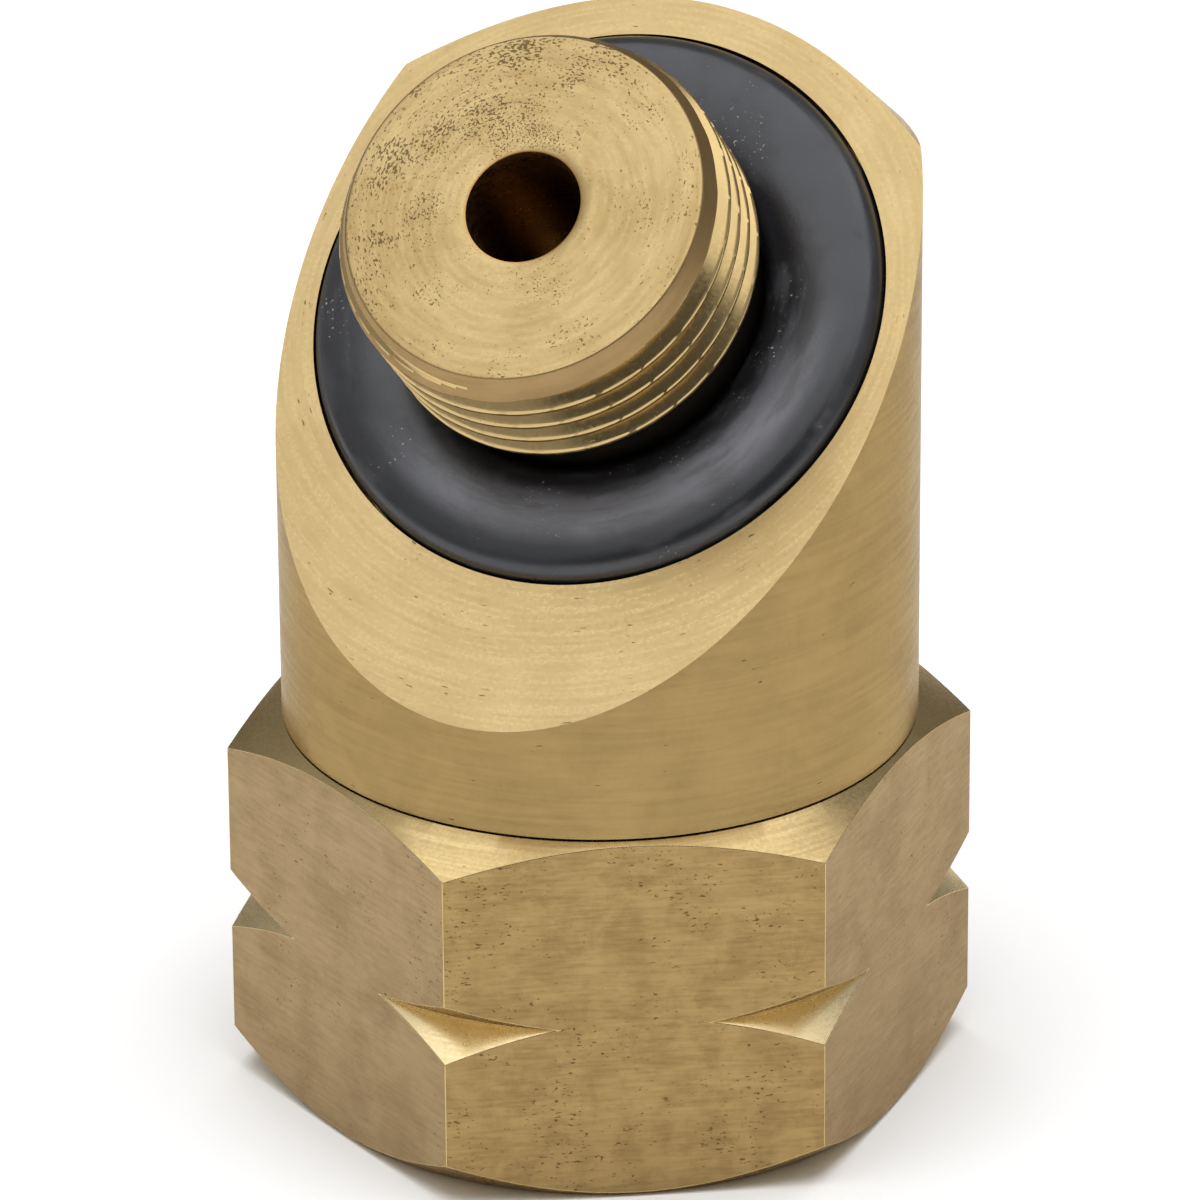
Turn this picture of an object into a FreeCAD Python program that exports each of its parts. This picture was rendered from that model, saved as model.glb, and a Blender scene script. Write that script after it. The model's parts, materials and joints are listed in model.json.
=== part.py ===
"""Brass 45-degree gas-cylinder adapter: a left-hand swivel union nut below, a face-sealed nipple above.

Millimetres, +Z up.  The origin is on the swivel axis, in the plane of the nut's open face.
The outlet leans towards -Y: its axis starts on the swivel axis, where the sloping face crosses it.
"""
import FreeCAD, Part
import math
import os
import re
import Sketcher

DIMENSIONS = {
    # union nut, a hexagon across X with two corners on the Y axis
    "nut_across_flats": 30.0,
    "nut_height": 18.0,
    "nut_top_rim": 14.73,
    "nut_top_drop": 1.5,
    "nut_foot_rim": 14.7,
    "nut_foot_rise": 2.07,
    "notch_height": 8.75,
    "notch_root": 15.4,
    "notch_half_width": 1.47,
    "nut_thread_bore": 9.74,
    "nut_thread_mouth": 10.95,
    "nut_thread_start": 1.2,
    "nut_thread_end": 10.2,
    "nut_relief_bore": 11.1,
    "nut_web_under": 13.8,
    "nut_web_bore": 8.2,
    # body, a round bar cut at the outlet's angle
    "body_outer": 14.73,
    "body_foot": 18.1,
    "body_shoulder": 44.97,
    "body_crown": 49.2,
    "body_crown_radius": 10.5,
    "outlet_tilt": 45.0,
    "cut_height": 37.79,
    "recess_radius": 13.6,
    "recess_depth": 3.4,
    "nipple_socket": 6.05,
    "nipple_socket_depth": 10.4,
    "cross_passage": 5.3,
    "cross_passage_depth": 13.0,
    "stem_counterbore": 7.65,
    "stem_counterbore_top": 21.7,
    "stem_socket": 6.05,
    "stem_socket_top": 27.6,
    # outlet nipple, measured from the sloping face along the outlet's axis
    "nipple_face": 11.2,
    "nipple_face_radius": 8.3,
    "nipple_thread_start": 10.0,
    "nipple_thread": 9.0,
    "nipple_thread_end": 3.9,
    "nipple_neck": 7.9,
    "nipple_foot": 2.4,
    "nipple_shank": 6.0,
    "nipple_shank_end": 9.4,
    "nipple_bore": 2.65,
    "seat_washer_inner": 6.1,
    # face seal, a thick rubber ring: gently domed, with a round outer shoulder and a flat foot
    "seal_outer": 13.5,
    "seal_shoulder": 1.1,
    "seal_crown_radius": 10.6,
    "seal_crown": 1.15,
    "seal_dome": 8.2,
    "seal_lip_radius": 8.6,
    "seal_lip": 0.3,
    "seal_inner": 8.0,
    # inlet stem, its collar held under the nut's web
    "stem_collar": 9.5,
    "stem_collar_under": 11.0,
    "stem_collar_top": 13.6,
    "stem_journal": 8.14,
    "stem_spigot": 7.5,
    "stem_thread": 6.0,
    "stem_top": 26.0,
    "stem_bore": 3.0,
    "stem_groove_root": 6.3,
    "stem_groove_under": 19.0,
    "stem_groove_top": 21.0,
    "stem_ring_outer": 7.62,
    "stem_ring_inner": 6.32,
    "stem_ring_height": 1.7,
    "gasket_thickness": 0.6,
    "gasket_outer": 9.0,
    "gasket_inner": 4.2,
}

PREFIXES = {name: "Dims." for name in DIMENSIONS}

doc = FreeCAD.newDocument("gas_cylinder_adapter")
sheet = doc.addObject("Spreadsheet::Sheet", "Dims")


def fill_sheet():
    """Write every driving dimension to the sheet, its name beside it as the cell's alias."""
    for row, (name, value) in enumerate(DIMENSIONS.items(), start=1):
        sheet.set(f"A{row}", name)
        sheet.set(f"B{row}", str(value))
        sheet.setAlias(f"B{row}", name)
    doc.recompute()


def cell(formula):
    """Turn a formula in plain dimension names into one that reads the sheet."""
    return re.sub(r"[a-z_]+", lambda word: PREFIXES.get(word[0], "") + word[0], formula)


def value_of(formula):
    """The number that a formula on the sheet gives now."""
    return float(sheet.evalExpression(cell(formula)))


def new_body(label):
    """A part-design body whose label names the piece."""
    body = doc.addObject("PartDesign::Body", label)
    body.Label = label
    return body


def plane_of(body, role):
    """One of the body's own origin planes."""
    return next(feature for feature in body.Origin.OriginFeatures if feature.Role == role)


def new_sketch(body, name, role):
    """An empty sketch on one of the body's origin planes."""
    sketch = body.newObject("Sketcher::SketchObject", name)
    sketch.AttachmentSupport = [(plane_of(body, role), "")]
    sketch.MapMode = "FlatFace"
    return sketch


def bind(sketch, kind, first, second, formula):
    """Hold the distance from one sketch point to another at a formula on the sheet."""
    size = value_of(formula)
    index = sketch.addConstraint(Sketcher.Constraint(kind, *first, *second, size))
    name = f"size_{index}"
    sketch.renameConstraint(index, name)
    sketch.setExpression(f"Constraints.{name}", cell(formula))


def pin_point(sketch, point, across, along):
    """Fix a sketch point by its distances from the sketch's origin."""
    origin = (-1, 1)
    vertical_axis, horizontal_axis = -2, -1
    for kind, formula, axis in (("DistanceX", across, vertical_axis), ("DistanceY", along, horizontal_axis)):
        size = value_of(formula)
        if abs(size) < 1e-9:
            sketch.addConstraint(Sketcher.Constraint("PointOnObject", *point, axis))
        elif size > 0:
            bind(sketch, kind, origin, point, formula)
        else:
            bind(sketch, kind, point, origin, f"-1 * ({formula})")


def draw_outline(sketch, corners):
    """Draw a closed outline of straight sides through corners given as pairs of formulas."""
    places = [FreeCAD.Vector(value_of(across), value_of(along), 0) for across, along in corners]
    first = sketch.GeometryCount
    count = len(corners)
    for step, place in enumerate(places):
        sketch.addGeometry(Part.LineSegment(place, places[(step + 1) % count]), False)
    for step in range(count):
        following = first + (step + 1) % count
        sketch.addConstraint(Sketcher.Constraint("Coincident", first + step, 2, following, 1))
    for step, (across, along) in enumerate(corners):
        pin_point(sketch, (first + step, 1), across, along)


def turn(body, kind, name, outlines, role="XZ_Plane"):
    """Add or cut a turned shape: outlines of (radius, height) swept round the sketch's upright axis."""
    sketch = new_sketch(body, f"{name}_sketch", role)
    for corners in outlines:
        draw_outline(sketch, corners)
    feature = body.newObject(f"PartDesign::{kind}", name)
    feature.Profile = sketch
    feature.ReferenceAxis = (sketch, ["V_Axis"])
    feature.Angle = 360.0
    sketch.Visibility = False
    return sketch


def lean_sketch(sketch):
    """Stand a sketch of the YZ plane on the sloping face, its upright axis along the outlet."""
    turn_axis = FreeCAD.Vector(0, 0, 1)
    tilt = FreeCAD.Rotation(turn_axis, value_of("outlet_tilt"))
    sketch.AttachmentOffset = FreeCAD.Placement(FreeCAD.Vector(0, value_of("cut_height"), 0), tilt)
    sketch.setExpression("AttachmentOffset.Base.y", cell("cut_height"))
    sketch.setExpression("AttachmentOffset.Rotation.Angle", cell("outlet_tilt"))


def lean_body(body):
    """Place a piece modelled upright at the origin so that it stands on the sloping face."""
    tilt = FreeCAD.Rotation(FreeCAD.Vector(1, 0, 0), value_of("outlet_tilt"))
    body.Placement = FreeCAD.Placement(FreeCAD.Vector(0, 0, value_of("cut_height")), tilt)
    body.setExpression("Placement.Base.z", cell("cut_height"))
    body.setExpression("Placement.Rotation.Angle", cell("outlet_tilt"))


def make_union_nut():
    """Hexagon nut, notched round its corners, bored for the thread below and the stem above."""
    body = new_body("union_nut")
    outline = new_sketch(body, "hexagon", "XY_Plane")
    half = "nut_across_flats / 2"
    corner = "nut_across_flats / 2 / cos(30 deg)"
    beside = "nut_across_flats / 4 / cos(30 deg)"
    draw_outline(outline, [
        ("0", corner),
        (f"-1 * {half}", beside),
        (f"-1 * {half}", f"-1 * {beside}"),
        ("0", f"-1 * {corner}"),
        (half, f"-1 * {beside}"),
        (half, beside),
    ])
    pad = body.newObject("PartDesign::Pad", "hexagon_bar")
    pad.Profile = outline
    pad.setExpression("Length", cell("nut_height"))
    outline.Visibility = False
    outside = "nut_across_flats * 0.6"
    reach = "(nut_across_flats * 0.6 - nut_top_rim) / (nut_across_flats * 0.57735 - nut_top_rim)"
    foot_reach = "(nut_across_flats * 0.6 - nut_foot_rim) / (nut_across_flats * 0.57735 - nut_foot_rim)"
    notch_reach = "(nut_across_flats * 0.6 - notch_root) / (nut_across_flats * 0.57735 - notch_root)"
    turn(body, "Groove", "corner_cuts", [
        [
            ("nut_top_rim", "nut_height"),
            (outside, f"nut_height - nut_top_drop * {reach}"),
            (outside, "nut_height"),
        ],
        [
            ("nut_foot_rim", "0"),
            (outside, "0"),
            (outside, f"nut_foot_rise * {foot_reach}"),
        ],
        [
            ("notch_root", "notch_height"),
            (outside, f"notch_height - notch_half_width * {notch_reach}"),
            (outside, f"notch_height + notch_half_width * {notch_reach}"),
        ],
    ])
    turn(body, "Groove", "bores", [[
        ("0", "0"),
        ("nut_thread_mouth", "0"),
        ("nut_thread_bore", "nut_thread_start"),
        ("nut_thread_bore", "nut_thread_end"),
        ("nut_relief_bore", "nut_thread_end + nut_relief_bore - nut_thread_bore"),
        ("nut_relief_bore", "nut_web_under"),
        ("nut_web_bore", "nut_web_under"),
        ("nut_web_bore", "nut_height"),
        ("0", "nut_height"),
    ]])
    return body


def make_elbow_body():
    """Round bar cut at the outlet's angle, with a socket at each end that breaks into the other."""
    body = new_body("elbow_body")
    turn(body, "Revolution", "round_bar", [[
        ("0", "body_foot"),
        ("body_outer", "body_foot"),
        ("body_outer", "body_shoulder"),
        ("body_crown_radius", "body_crown"),
        ("0", "body_crown"),
    ]])
    slope = new_sketch(body, "slope_sketch", "YZ_Plane")
    lean_sketch(slope)
    beyond = "body_outer * 3"
    draw_outline(slope, [
        (f"-1 * {beyond}", "0"),
        (beyond, "0"),
        (beyond, beyond),
        (f"-1 * {beyond}", beyond),
    ])
    cut = body.newObject("PartDesign::Pocket", "sloping_face")
    cut.Profile = slope
    cut.Type = "ThroughAll"
    cut.Midplane = True
    slope.Visibility = False
    outlet = turn(body, "Groove", "outlet_bores", [[
        ("0", "0"),
        ("recess_radius", "0"),
        ("recess_radius", "-1 * recess_depth"),
        ("nipple_socket", "-1 * recess_depth"),
        ("nipple_socket", "-1 * nipple_socket_depth"),
        ("cross_passage", "-1 * nipple_socket_depth"),
        ("cross_passage", "-1 * cross_passage_depth"),
        ("0", "-1 * cross_passage_depth"),
    ]], "YZ_Plane")
    lean_sketch(outlet)
    turn(body, "Groove", "stem_bores", [[
        ("0", "body_foot"),
        ("stem_counterbore", "body_foot"),
        ("stem_counterbore", "stem_counterbore_top"),
        ("stem_socket", "stem_counterbore_top"),
        ("stem_socket", "stem_socket_top"),
        ("0", "stem_socket_top"),
    ]])
    return body


def make_outlet_nipple():
    """Male nipple: threaded nose, undercut neck, and a shank that screws into the body."""
    body = new_body("outlet_nipple")
    turn(body, "Revolution", "nipple_turning", [[
        ("nipple_bore", "-1 * nipple_shank_end"),
        ("nipple_shank", "-1 * nipple_shank_end"),
        ("nipple_shank", "-1 * nipple_foot"),
        ("nipple_neck", "-1 * nipple_foot"),
        ("nipple_neck", "nipple_thread_end - nipple_thread + nipple_neck"),
        ("nipple_thread", "nipple_thread_end"),
        ("nipple_thread", "nipple_thread_start"),
        ("nipple_face_radius", "nipple_face"),
        ("nipple_bore", "nipple_face"),
    ]])
    lean_body(body)
    return body


def make_nipple_seat_washer():
    """Flat washer clamped between the nipple's neck and the floor of the recess."""
    body = new_body("nipple_seat_washer")
    turn(body, "Revolution", "washer_turning", [[
        ("seat_washer_inner", "-1 * recess_depth"),
        ("nipple_neck", "-1 * recess_depth"),
        ("nipple_neck", "-1 * nipple_foot"),
        ("seat_washer_inner", "-1 * nipple_foot"),
    ]])
    lean_body(body)
    return body


def ring_from_sketch(body, sketch, name):
    """Sweep a finished sketch once round its upright axis."""
    ring = body.newObject("PartDesign::Revolution", name)
    ring.Profile = sketch
    ring.ReferenceAxis = (sketch, ["V_Axis"])
    ring.Angle = 360.0
    sketch.Visibility = False


def make_outlet_seal_ring():
    """Thick rubber ring in the recess: gently domed, with a round outer shoulder and a small inner lip."""
    body = new_body("outlet_seal_ring")
    sketch = new_sketch(body, "seal_section_sketch", "XZ_Plane")
    across = value_of("seal_outer - seal_shoulder - seal_crown_radius")
    rise = math.sqrt(value_of("seal_dome - seal_shoulder") ** 2 - across**2)
    dome_centre = FreeCAD.Vector(value_of("seal_crown_radius"), value_of("seal_crown - seal_dome"), 0)
    meeting = math.atan2(rise, across)
    inward = value_of("seal_crown_radius - seal_lip_radius") / value_of("seal_dome")
    upright = FreeCAD.Vector(0, 0, 1)
    shoulder = Part.Circle(dome_centre + FreeCAD.Vector(across, rise, 0), upright, value_of("seal_shoulder"))
    dome = Part.Circle(dome_centre, upright, value_of("seal_dome"))
    round_side = Part.ArcOfCircle(shoulder, 0, meeting)
    top = Part.ArcOfCircle(dome, meeting, math.pi / 2 + math.asin(inward))
    outer_foot = FreeCAD.Vector(value_of("seal_outer"), value_of("-1 * recess_depth"), 0)
    lip = FreeCAD.Vector(value_of("seal_inner"), value_of("seal_lip"), 0)
    inner_foot = FreeCAD.Vector(value_of("seal_inner"), value_of("-1 * recess_depth"), 0)
    sketch.addGeometry(round_side, False)
    sketch.addGeometry(top, False)
    sketch.addGeometry(Part.LineSegment(top.EndPoint, lip), False)
    sketch.addGeometry(Part.LineSegment(lip, inner_foot), False)
    sketch.addGeometry(Part.LineSegment(inner_foot, outer_foot), False)
    sketch.addGeometry(Part.LineSegment(outer_foot, round_side.StartPoint), False)
    sketch.addConstraint(Sketcher.Constraint("Tangent", 0, 2, 1, 1))
    sketch.addConstraint(Sketcher.Constraint("Coincident", 1, 2, 2, 1))
    sketch.addConstraint(Sketcher.Constraint("Coincident", 2, 2, 3, 1))
    sketch.addConstraint(Sketcher.Constraint("Coincident", 3, 2, 4, 1))
    sketch.addConstraint(Sketcher.Constraint("Coincident", 4, 2, 5, 1))
    sketch.addConstraint(Sketcher.Constraint("Tangent", 5, 2, 0, 1))
    sketch.addConstraint(Sketcher.Constraint("Vertical", 5))
    pin_point(sketch, (1, 3), "seal_crown_radius", "seal_crown - seal_dome")
    bind(sketch, "Radius", (0,), (), "seal_shoulder")
    bind(sketch, "Radius", (1,), (), "seal_dome")
    bind(sketch, "DistanceX", (-1, 1), (2, 1), "seal_lip_radius")
    pin_point(sketch, (2, 2), "seal_inner", "seal_lip")
    pin_point(sketch, (3, 2), "seal_inner", "-1 * recess_depth")
    pin_point(sketch, (4, 2), "seal_outer", "-1 * recess_depth")
    ring_from_sketch(body, sketch, "seal_turning")
    lean_body(body)
    return body


def make_inlet_stem():
    """Hollow stem: collar below the nut's web, journal through it, grooved spigot and screwed top."""
    body = new_body("inlet_stem")
    turn(body, "Revolution", "stem_turning", [[
        ("stem_bore", "stem_collar_under"),
        ("stem_collar", "stem_collar_under"),
        ("stem_collar", "stem_collar_top"),
        ("stem_journal", "stem_collar_top"),
        ("stem_journal", "body_foot"),
        ("stem_spigot", "body_foot"),
        ("stem_spigot", "stem_groove_under"),
        ("stem_groove_root", "stem_groove_under"),
        ("stem_groove_root", "stem_groove_top"),
        ("stem_spigot", "stem_groove_top"),
        ("stem_spigot", "stem_counterbore_top - 0.2"),
        ("stem_thread", "stem_counterbore_top - 0.2"),
        ("stem_thread", "stem_top"),
        ("stem_bore", "stem_top"),
    ]])
    return body


def make_stem_seal_ring():
    """Small rubber ring in the spigot's groove, flat-sided where the groove and the body squeeze it."""
    body = new_body("stem_seal_ring")
    sketch = new_sketch(body, "stem_ring_sketch", "XZ_Plane")
    inner = value_of("stem_ring_inner")
    outer = value_of("stem_ring_outer")
    rounding = (outer - inner) / 2
    middle_radius = (outer + inner) / 2
    middle_height = value_of("(stem_groove_under + stem_groove_top) / 2")
    straight = value_of("stem_ring_height") / 2 - rounding
    up = FreeCAD.Vector(0, 0, 1)
    upper = Part.Circle(FreeCAD.Vector(middle_radius, middle_height + straight, 0), up, rounding)
    lower = Part.Circle(FreeCAD.Vector(middle_radius, middle_height - straight, 0), up, rounding)
    top_arc = Part.ArcOfCircle(upper, 0, math.pi)
    foot_arc = Part.ArcOfCircle(lower, math.pi, 2 * math.pi)
    sketch.addGeometry(top_arc, False)
    sketch.addGeometry(Part.LineSegment(top_arc.EndPoint, foot_arc.StartPoint), False)
    sketch.addGeometry(foot_arc, False)
    sketch.addGeometry(Part.LineSegment(foot_arc.EndPoint, top_arc.StartPoint), False)
    for arc, line in ((0, 1), (2, 3)):
        sketch.addConstraint(Sketcher.Constraint("Tangent", arc, 2, line, 1))
    for line, arc in ((1, 2), (3, 0)):
        sketch.addConstraint(Sketcher.Constraint("Tangent", line, 2, arc, 1))
    sketch.addConstraint(Sketcher.Constraint("Vertical", 1))
    bind(sketch, "Radius", (0,), (), "(stem_ring_outer - stem_ring_inner) / 2")
    middle = "(stem_ring_outer + stem_ring_inner) / 2"
    half_straight = "(stem_ring_height - stem_ring_outer + stem_ring_inner) / 2"
    centre = "(stem_groove_under + stem_groove_top) / 2"
    pin_point(sketch, (0, 3), middle, f"{centre} + {half_straight}")
    bind(sketch, "DistanceY", (-1, 1), (2, 3), f"{centre} - {half_straight}")
    ring_from_sketch(body, sketch, "stem_ring_turning")
    return body


def make_inlet_gasket():
    """Flat rubber gasket on the stem's lower face, which seals on the cylinder valve."""
    body = new_body("inlet_gasket")
    under = "stem_collar_under - gasket_thickness"
    turn(body, "Revolution", "gasket_turning", [[
        ("gasket_inner", under),
        ("gasket_outer", under),
        ("gasket_outer", "stem_collar_under"),
        ("gasket_inner", "stem_collar_under"),
    ]])
    return body


def check_model(pieces):
    """Stop if any object of the document failed, or any piece is not one sound solid."""
    for item in doc.Objects:
        if "Invalid" in item.State or "Error" in item.State:
            raise RuntimeError(f"{item.Label} failed: {item.State}")
    for piece in pieces:
        shape = piece.Shape
        if shape.isNull() or not shape.isValid():
            raise RuntimeError(f"{piece.Label} has no sound shape")
        if len(shape.Solids) != 1:
            raise RuntimeError(f"{piece.Label} holds {len(shape.Solids)} solids")


def write_pieces(pieces):
    """Save each piece under its own name, and say how big it came out."""
    os.makedirs("parts", exist_ok=True)
    for piece in pieces:
        shape = piece.Shape
        shape.exportStep(f"parts/{piece.Label}.step")
        box = shape.BoundBox
        size = f"{box.XLength:.2f} x {box.YLength:.2f} x {box.ZLength:.2f}"
        print(f"{piece.Label}: {shape.Volume:.1f} mm3, box {size}, z {box.ZMin:.2f} to {box.ZMax:.2f}")


fill_sheet()
pieces = [
    make_union_nut(),
    make_elbow_body(),
    make_outlet_nipple(),
    make_nipple_seat_washer(),
    make_outlet_seal_ring(),
    make_inlet_stem(),
    make_stem_seal_ring(),
    make_inlet_gasket(),
]
doc.recompute()
check_model(pieces)
write_pieces(pieces)
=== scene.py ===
# %% [markdown]
# # A brass gas-cylinder adapter
#
# Four pieces of this object show from outside: a hexagon union nut, a round body cut off at
# 45 degrees, a threaded nipple and a black rubber ring at its foot. The rest sits inside.
# The CAD model has already settled where everything goes and how big it is, so the first step is to load
# it.

# %% Load the frame
import json
import math

import bmesh
import bpy
from mathutils import Matrix, Vector


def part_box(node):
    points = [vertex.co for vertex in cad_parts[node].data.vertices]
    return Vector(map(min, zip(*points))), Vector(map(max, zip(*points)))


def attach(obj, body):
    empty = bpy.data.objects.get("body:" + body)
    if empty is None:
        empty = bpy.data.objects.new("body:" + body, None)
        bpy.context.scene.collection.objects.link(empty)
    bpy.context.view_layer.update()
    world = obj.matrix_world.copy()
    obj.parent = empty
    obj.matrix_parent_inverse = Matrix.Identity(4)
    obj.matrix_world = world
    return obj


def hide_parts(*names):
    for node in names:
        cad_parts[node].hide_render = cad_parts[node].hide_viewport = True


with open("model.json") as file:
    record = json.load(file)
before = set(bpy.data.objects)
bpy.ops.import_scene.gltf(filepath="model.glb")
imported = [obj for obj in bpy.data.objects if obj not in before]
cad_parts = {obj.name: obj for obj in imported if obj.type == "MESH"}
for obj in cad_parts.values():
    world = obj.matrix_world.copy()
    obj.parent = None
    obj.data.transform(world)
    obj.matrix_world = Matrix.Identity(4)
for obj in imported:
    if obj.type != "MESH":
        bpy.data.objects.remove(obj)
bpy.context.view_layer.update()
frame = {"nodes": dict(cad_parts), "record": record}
MM = 0.001
print("CAD nodes:", sorted(frame["nodes"]))

# %% [markdown]
# ## Sizes
#
# Blender works in metres and a lathe works in millimetres, so every size here is read from
# the frame and turned into millimetres. The few that a box can't give, such as how deep a
# recess is, are the drawing's own numbers. The outlet leans: its axis and the point where
# it leaves the swivel axis come from the mount of the outlet thread.

# %% Read the main sizes
low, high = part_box("union_nut")
ACROSS_FLATS = (high[0] - low[0]) / MM
NUT_HEIGHT = (high[2] - low[2]) / MM
low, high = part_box("elbow_body")
BODY_RADIUS = (high[0] - low[0]) / MM / 2
BODY_FOOT = low[2] / MM
low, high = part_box("outlet_nipple")
THREAD_RADIUS = (high[0] - low[0]) / MM / 2
low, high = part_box("outlet_seal_ring")
SEAL_OUTER = (high[0] - low[0]) / MM / 2

mounts = {mount["name"]: mount for mount in frame["record"]["mounts"]}
OUTLET_AXIS = Vector(mounts["outlet_thread"]["axis"])
middle_of_thread = Vector(mounts["outlet_thread"]["pos_m"]) / MM
SLOPE_HEIGHT = (middle_of_thread - OUTLET_AXIS * (middle_of_thread.y / OUTLET_AXIS.y)).z
OUTLET_TILT = math.atan2(-OUTLET_AXIS.y, OUTLET_AXIS.z)

UPRIGHT = Matrix.Identity(4)
LEANING = Matrix.Translation((0, 0, SLOPE_HEIGHT)) @ Matrix.Rotation(OUTLET_TILT, 4, "X")
print(f"nut {ACROSS_FLATS:.2f} across flats, body radius {BODY_RADIUS:.2f}")
print(f"slope crosses the axis at {SLOPE_HEIGHT:.2f}")

# %% [markdown]
# ## Camera
#
# A long lens far away keeps the nut's upright edges nearly parallel. The camera looks down
# at 25 degrees and stands 24 degrees round to the right, so that the sloping face is seen
# almost square on. Its distance and aim are in millimetres, and it leans a little.

# %% Camera
CAMERA_TURN = math.radians(24.335)
CAMERA_RISE = math.radians(24.95)
CAMERA_ROLL = math.radians(-0.415)
CAMERA_DISTANCE = 424.35
CAMERA_LENS = 276.5
AIM = Vector((0.03, 0.01, 23.10))


def add_camera():
    """Stand the camera off along its line of sight, and aim it back."""
    back = Vector((
        math.sin(CAMERA_TURN) * math.cos(CAMERA_RISE),
        -math.cos(CAMERA_TURN) * math.cos(CAMERA_RISE),
        math.sin(CAMERA_RISE),
    ))
    data = bpy.data.cameras.new("camera")
    data.sensor_width = 36.0
    data.lens = CAMERA_LENS
    camera = bpy.data.objects.new("camera", data)
    stand = Matrix.Translation((AIM + back * CAMERA_DISTANCE) * MM)
    look = back.to_track_quat("Z", "Y").to_matrix().to_4x4()
    camera.matrix_world = stand @ look @ Matrix.Rotation(CAMERA_ROLL, 4, "Z")
    bpy.context.scene.collection.objects.link(camera)
    bpy.context.scene.camera = camera
    return camera


camera = add_camera()
print("camera at", [round(part, 3) for part in camera.matrix_world.translation])

# %% [markdown]
# ## A lathe in code
#
# Nearly everything here was turned on a lathe, so one helper does most of the modelling.
# It takes a closed outline of (radius, height) corners and spins it round an axis. Blender's
# Screw modifier could do that too, but here a row of the outline may also be a function of
# the turn: that is how a screw thread is cut, because a thread is only a groove whose height
# changes as the work goes round.

# %% The lathe
def new_piece(name, mesh):
    """Link a mesh to the scene as an object."""
    piece = bpy.data.objects.new(name, mesh)
    bpy.context.scene.collection.objects.link(piece)
    return piece


SAME_POINT = 1e-8  # metres


def turned(name, rows, columns=256, place=UPRIGHT):
    """Spin a closed outline round a place's Z axis; a row is (radius, height) or a function of the turn."""
    work = bmesh.new()
    rings = []
    for row in rows:
        ring = []
        for column in range(columns):
            turn = math.tau * column / columns
            radius, height = row(turn) if callable(row) else row
            point = place @ Vector((radius * math.cos(turn), radius * math.sin(turn), height))
            ring.append(work.verts.new(point * MM))
        rings.append(ring)
    for ring, following in zip(rings, rings[1:] + rings[:1]):
        for column in range(columns):
            beside = (column + 1) % columns
            work.faces.new((ring[column], ring[beside], following[beside], following[column]))
    bmesh.ops.remove_doubles(work, verts=work.verts, dist=SAME_POINT)
    bmesh.ops.recalc_face_normals(work, faces=work.faces)
    mesh = bpy.data.meshes.new(name)
    work.to_mesh(mesh)
    work.free()
    return new_piece(name, mesh)


def softened(corners, edge):
    """Round each corner of a closed outline off a little, with three points in place of one."""
    rows = []
    count = len(corners)
    for index, corner in enumerate(corners):
        here = Vector(corner)
        before = Vector(corners[index - 1]) - here
        after = Vector(corners[(index + 1) % count]) - here
        reach = min(edge, before.length * 0.4, after.length * 0.4)
        start = here + before.normalized() * reach
        end = here + after.normalized() * reach
        rows += [tuple(start), tuple((start + end) / 4 + here / 2), tuple(end)]
    return rows


# %% [markdown]
# ## Screw threads
#
# Both threads have sloping flanks, a narrow flat at the crest and an eased root. Going once
# round moves the groove by one pitch: upwards on a right-hand thread, and downwards on a
# left-hand one, which many gas-cylinder nuts have so that nobody can mix them up.

# %% Thread shape
def thread_height(height, turn, pitch, hand, crest_height=0.0, crest_flat=0.14, root_flat=0.16):
    """How high the thread stands at a place, from 0 at the root to 1 at the crest."""
    phase = (height - crest_height) / pitch - hand * turn / math.tau
    away = abs(phase - round(phase)) * 2
    climb = (1 - root_flat - away) / (1 - root_flat - crest_flat)
    climb = max(0.0, min(1.0, climb))
    rounded = climb * climb * (3 - 2 * climb)
    return 0.7 * climb + 0.3 * rounded


def steps(first, last, size):
    """Evenly spaced values from first to last, both included."""
    count = max(1, round(abs(last - first) / size))
    return [first + (last - first) * index / count for index in range(count + 1)]


# %% [markdown]
# ## Cutting pieces out of each other
#
# The hexagon and the sloping face aren't turned, so those solids are cut: a cutter is made,
# a Boolean modifier takes it away, and the result is written into the piece's own mesh.
# The exact solver keeps the crisp curves where a cone meets a flat.

# %% Cut, intersect and finish
def cut(piece, cutter, operation="DIFFERENCE"):
    """Apply an exact Boolean to a piece, and throw the cutter away."""
    modifier = piece.modifiers.new("cut", "BOOLEAN")
    modifier.operation = operation
    modifier.solver = "EXACT"
    modifier.object = cutter
    graph = bpy.context.evaluated_depsgraph_get()
    mesh = bpy.data.meshes.new_from_object(piece.evaluated_get(graph))
    piece.modifiers.clear()
    old = piece.data
    piece.data = mesh
    bpy.data.meshes.remove(old)
    bpy.data.objects.remove(cutter)


MERGE = 2e-7  # metres
SMALLEST_EDGE = 1e-7  # metres


def round_edges(piece, width, sharpest=24.0, finish=-1):
    """Give every hard edge a small real radius, and a finish of its own if a material's number is given."""
    work = bmesh.new()
    work.from_mesh(piece.data)
    bmesh.ops.remove_doubles(work, verts=work.verts, dist=MERGE)
    bmesh.ops.dissolve_degenerate(work, edges=work.edges, dist=SMALLEST_EDGE)
    work.to_mesh(piece.data)
    work.free()
    bevel = piece.modifiers.new("edge radius", "BEVEL")
    bevel.width = width * MM
    bevel.segments = 3
    bevel.limit_method = "ANGLE"
    bevel.angle_limit = math.radians(sharpest)
    bevel.use_clamp_overlap = True
    bevel.material = finish
    shade_smooth(piece)
    weigh = piece.modifiers.new("flat faces stay flat", "WEIGHTED_NORMAL")
    weigh.keep_sharp = True


def shade_smooth(piece, sharpest=40.0):
    """Smooth shading, with a hard line only where the surface really turns a corner."""
    piece.data.shade_smooth()
    piece.data.set_sharp_from_angle(angle=math.radians(sharpest))


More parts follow.
